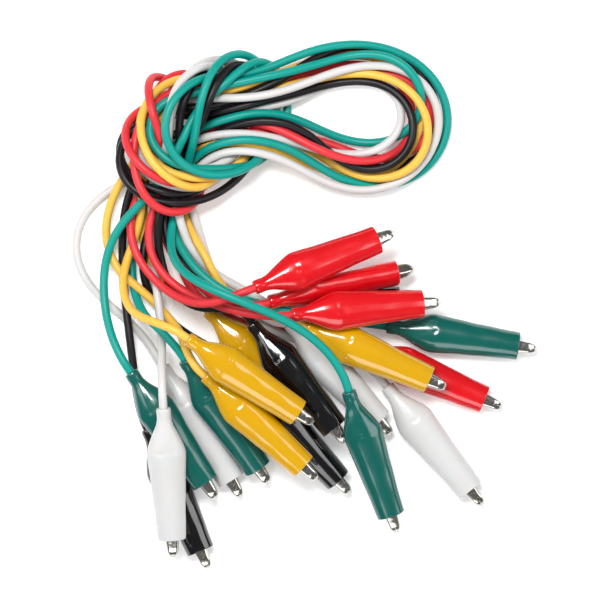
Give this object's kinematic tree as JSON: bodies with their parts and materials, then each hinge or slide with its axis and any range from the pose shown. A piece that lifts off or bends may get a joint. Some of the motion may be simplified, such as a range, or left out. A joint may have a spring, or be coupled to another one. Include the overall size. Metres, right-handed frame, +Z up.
{
  "type": "alligator clip test leads",
  "caption": "Knotted bundle of flexible test leads in five colours, each with a booted spring alligator clip at both ends.",
  "frame": {"origin": "on the table, under the middle of the clips (wires left out)", "axes": "+Z up from the table, +X towards the right of the spread of clips, +Y towards the knot"},
  "size_m": [0.1316, 0.1497, 0.0279],
  "materials": {
    "red_wire": "satin flexible PVC",
    "red_boot": "glossy soft PVC",
    "green_wire": "satin flexible PVC",
    "green_boot": "glossy soft PVC",
    "yellow_wire": "satin flexible PVC",
    "yellow_boot": "glossy soft PVC",
    "black_wire": "satin flexible PVC",
    "black_boot": "glossy soft PVC",
    "white_wire": "satin flexible PVC",
    "white_boot": "glossy soft PVC",
    "nickel": "bright nickel plate",
    "steel": "plain steel wire",
    "copper": "bare copper strands"
  },
  "bodies": {
    "pile": {"red_1_wire": "red_wire", "red_2_wire": "red_wire", "green_1_wire": "green_wire", "green_2_wire": "green_wire", "yellow_1_wire": "yellow_wire", "yellow_2_wire": "yellow_wire", "black_1_wire": "black_wire", "black_2_wire": "black_wire", "white_1_wire": "white_wire", "white_2_wire": "white_wire", "red_1_boot_a": "red_boot", "red_1_fixed_jaw_a": "nickel", "red_1_pivot_pin_a": "steel", "red_1_torsion_spring_a": "steel", "red_1_conductor_a": "copper", "red_1_boot_b": "red_boot", "red_1_fixed_jaw_b": "nickel", "red_1_pivot_pin_b": "steel", "red_1_torsion_spring_b": "steel", "red_1_conductor_b": "copper", "red_2_boot_and_fixed_jaw_a": "red_boot", "red_2_boot_and_fixed_jaw_b": "red_boot", "green_1_boot_and_fixed_jaw_a": "green_boot", "green_1_boot_and_fixed_jaw_b": "green_boot", "green_2_boot_and_fixed_jaw_a": "green_boot", "green_2_boot_and_fixed_jaw_b": "green_boot", "yellow_1_boot_and_fixed_jaw_a": "yellow_boot", "yellow_1_boot_and_fixed_jaw_b": "yellow_boot", "yellow_2_boot_and_fixed_jaw_a": "yellow_boot", "yellow_2_boot_and_fixed_jaw_b": "yellow_boot", "black_1_boot_and_fixed_jaw_a": "black_boot", "black_1_boot_and_fixed_jaw_b": "black_boot", "black_2_boot_and_fixed_jaw_a": "black_boot", "black_2_boot_and_fixed_jaw_b": "black_boot", "white_1_boot_and_fixed_jaw_a": "white_boot", "white_1_boot_and_fixed_jaw_b": "white_boot", "white_2_boot_and_fixed_jaw_a": "white_boot", "white_2_boot_and_fixed_jaw_b": "white_boot"},
    "red_1_a_jaw": {"red_1_moving_jaw_a": "nickel"},
    "red_1_b_jaw": {"red_1_moving_jaw_b": "nickel"},
    "red_2_a_jaw": {"red_2_moving_jaw_a": "nickel"},
    "red_2_b_jaw": {"red_2_moving_jaw_b": "nickel"},
    "green_1_a_jaw": {"green_1_moving_jaw_a": "nickel"},
    "green_1_b_jaw": {"green_1_moving_jaw_b": "nickel"},
    "green_2_a_jaw": {"green_2_moving_jaw_a": "nickel"},
    "green_2_b_jaw": {"green_2_moving_jaw_b": "nickel"},
    "yellow_1_a_jaw": {"yellow_1_moving_jaw_a": "nickel"},
    "yellow_1_b_jaw": {"yellow_1_moving_jaw_b": "nickel"},
    "yellow_2_a_jaw": {"yellow_2_moving_jaw_a": "nickel"},
    "yellow_2_b_jaw": {"yellow_2_moving_jaw_b": "nickel"},
    "black_1_a_jaw": {"black_1_moving_jaw_a": "nickel"},
    "black_1_b_jaw": {"black_1_moving_jaw_b": "nickel"},
    "black_2_a_jaw": {"black_2_moving_jaw_a": "nickel"},
    "black_2_b_jaw": {"black_2_moving_jaw_b": "nickel"},
    "white_1_a_jaw": {"white_1_moving_jaw_a": "nickel"},
    "white_1_b_jaw": {"white_1_moving_jaw_b": "nickel"},
    "white_2_a_jaw": {"white_2_moving_jaw_a": "nickel"},
    "white_2_b_jaw": {"white_2_moving_jaw_b": "nickel"}
  },
  "joints": [
    {"name": "red_1_a_opening", "type": "hinge", "parent": "pile", "child": "red_1_a_jaw", "pos_m": [0.00487, 0.03186, 0.01097], "axis": [0.2913, -0.8216, 0.4901], "range_deg": [0, 25], "stiffness_Nm_per_rad": 0.03, "springref_deg": -40.11, "deforming": ["red_1_boot_a"]},
    {"name": "red_1_b_opening", "type": "hinge", "parent": "pile", "child": "red_1_b_jaw", "pos_m": [-0.0001, 0.03911, 0.01875], "axis": [0.1806, 0.0711, 0.981], "range_deg": [0, 25], "stiffness_Nm_per_rad": 0.03, "springref_deg": -40.11, "deforming": ["red_1_boot_b"]},
    {"name": "red_2_a_opening", "type": "hinge", "parent": "pile", "child": "red_2_a_jaw", "pos_m": [0.03053, 0.00476, 0.00342], "axis": [-0.0015, 0.0006, -1], "range_deg": [0, 25], "stiffness_Nm_per_rad": 0.03, "springref_deg": -40.11, "deforming": ["red_2_boot_and_fixed_jaw_a"]},
    {"name": "red_2_b_opening", "type": "hinge", "parent": "pile", "child": "red_2_b_jaw", "pos_m": [0.01179, 0.02513, 0.01542], "axis": [0.2055, 0.018, 0.9785], "range_deg": [0, 25], "stiffness_Nm_per_rad": 0.03, "springref_deg": -40.11, "deforming": ["red_2_boot_and_fixed_jaw_b"]},
    {"name": "green_1_a_opening", "type": "hinge", "parent": "pile", "child": "green_1_a_jaw", "pos_m": [0.03914, 0.0164, 0.0039], "axis": [0.0264, -0.004, 0.9996], "range_deg": [0, 25], "stiffness_Nm_per_rad": 0.03, "springref_deg": -40.11, "deforming": ["green_1_boot_and_fixed_jaw_a"]},
    {"name": "green_1_b_opening", "type": "hinge", "parent": "pile", "child": "green_1_b_jaw", "pos_m": [0.01271, -0.01976, 0.01397], "axis": [-0.0672, 0.1953, -0.9784], "range_deg": [0, 25], "stiffness_Nm_per_rad": 0.03, "springref_deg": -40.11, "deforming": ["green_1_boot_and_fixed_jaw_b"]},
    {"name": "green_2_a_opening", "type": "hinge", "parent": "pile", "child": "green_2_a_jaw", "pos_m": [-0.02843, -0.00832, 0.00848], "axis": [0.1072, -0.159, 0.9814], "range_deg": [0, 25], "stiffness_Nm_per_rad": 0.03, "springref_deg": -40.11, "deforming": ["green_2_boot_and_fixed_jaw_a"]},
    {"name": "green_2_b_opening", "type": "hinge", "parent": "pile", "child": "green_2_b_jaw", "pos_m": [-0.04353, -0.01223, 0.00914], "axis": [-0.0312, 0.0462, -0.9984], "range_deg": [0, 15], "stiffness_Nm_per_rad": 0.03, "springref_deg": -40.11, "deforming": ["green_2_boot_and_fixed_jaw_b"]},
    {"name": "yellow_1_a_opening", "type": "hinge", "parent": "pile", "child": "yellow_1_a_jaw", "pos_m": [0.0146, 0.01067, 0.01196], "axis": [-0.0727, 0.0316, -0.9969], "range_deg": [0, 25], "stiffness_Nm_per_rad": 0.03, "springref_deg": -40.11, "deforming": ["yellow_1_boot_and_fixed_jaw_a"]},
    {"name": "yellow_1_b_opening", "type": "hinge", "parent": "pile", "child": "yellow_1_b_jaw", "pos_m": [-0.02115, 0.00372, 0.02216], "axis": [0.1307, -0.0881, 0.9875], "range_deg": [0, 25], "stiffness_Nm_per_rad": 0.03, "springref_deg": -40.11, "deforming": ["yellow_1_boot_and_fixed_jaw_b"]},
    {"name": "yellow_2_a_opening", "type": "hinge", "parent": "pile", "child": "yellow_2_a_jaw", "pos_m": [-0.01809, 0.00833, 0.00443], "axis": [0.0341, -0.0329, 0.9989], "range_deg": [0, 15], "stiffness_Nm_per_rad": 0.03, "springref_deg": -40.11, "deforming": ["yellow_2_boot_and_fixed_jaw_a"]},
    {"name": "yellow_2_b_opening", "type": "hinge", "parent": "pile", "child": "yellow_2_b_jaw", "pos_m": [-0.01832, -0.00967, 0.01595], "axis": [0.0692, -0.0645, 0.9955], "range_deg": [0, 20], "stiffness_Nm_per_rad": 0.03, "springref_deg": -40.11, "deforming": ["yellow_2_boot_and_fixed_jaw_b"]},
    {"name": "black_1_a_opening", "type": "hinge", "parent": "pile", "child": "black_1_a_jaw", "pos_m": [-0.00735, -0.01296, 0.00745], "axis": [0.1319, -0.1465, 0.9804], "range_deg": [0, 25], "stiffness_Nm_per_rad": 0.03, "springref_deg": -40.11, "deforming": ["black_1_boot_and_fixed_jaw_a"]},
    {"name": "black_1_b_opening", "type": "hinge", "parent": "pile", "child": "black_1_b_jaw", "pos_m": [-0.00767, 0.00268, 0.01187], "axis": [0.0009, -0.0012, -1], "range_deg": [0, 6], "stiffness_Nm_per_rad": 0.03, "springref_deg": -40.11, "deforming": ["black_1_boot_and_fixed_jaw_b"]},
    {"name": "black_2_a_opening", "type": "hinge", "parent": "pile", "child": "black_2_a_jaw", "pos_m": [-0.04258, -0.03044, 0.00342], "axis": [0.0006, -0.0015, 1], "range_deg": [0, 25], "stiffness_Nm_per_rad": 0.03, "springref_deg": -40.11, "deforming": ["black_2_boot_and_fixed_jaw_a"]},
    {"name": "black_2_b_opening", "type": "hinge", "parent": "pile", "child": "black_2_b_jaw", "pos_m": [0.00528, 0.02643, 0.00342], "axis": [0.0016, 0.0001, 1], "range_deg": [0, 8], "stiffness_Nm_per_rad": 0.03, "springref_deg": -40.11, "deforming": ["black_2_boot_and_fixed_jaw_b"]},
    {"name": "white_1_a_opening", "type": "hinge", "parent": "pile", "child": "white_1_a_jaw", "pos_m": [0.03089, -0.0152, 0.00349], "axis": [0.0035, -0.0043, 1], "range_deg": [0, 25], "stiffness_Nm_per_rad": 0.03, "springref_deg": -40.11, "deforming": ["white_1_boot_and_fixed_jaw_a"]},
    {"name": "white_1_b_opening", "type": "hinge", "parent": "pile", "child": "white_1_b_jaw", "pos_m": [-0.04557, -0.02577, 0.01408], "axis": [-0.0118, 0.1924, -0.9812], "range_deg": [0, 25], "stiffness_Nm_per_rad": 0.03, "springref_deg": -40.11, "deforming": ["white_1_boot_and_fixed_jaw_b"]},
    {"name": "white_2_a_opening", "type": "hinge", "parent": "pile", "child": "white_2_a_jaw", "pos_m": [-0.03558, -0.0113, 0.00342], "axis": [-0.0008, 0.0014, -1], "range_deg": [0, 12], "stiffness_Nm_per_rad": 0.03, "springref_deg": -40.11, "deforming": ["white_2_boot_and_fixed_jaw_a"]},
    {"name": "white_2_b_opening", "type": "hinge", "parent": "pile", "child": "white_2_b_jaw", "pos_m": [0.00406, 0.00388, 0.00619], "axis": [-0.0918, 0.1002, -0.9907], "range_deg": [0, 18], "stiffness_Nm_per_rad": 0.03, "springref_deg": -40.11, "deforming": ["white_2_boot_and_fixed_jaw_b"]}
  ]
}
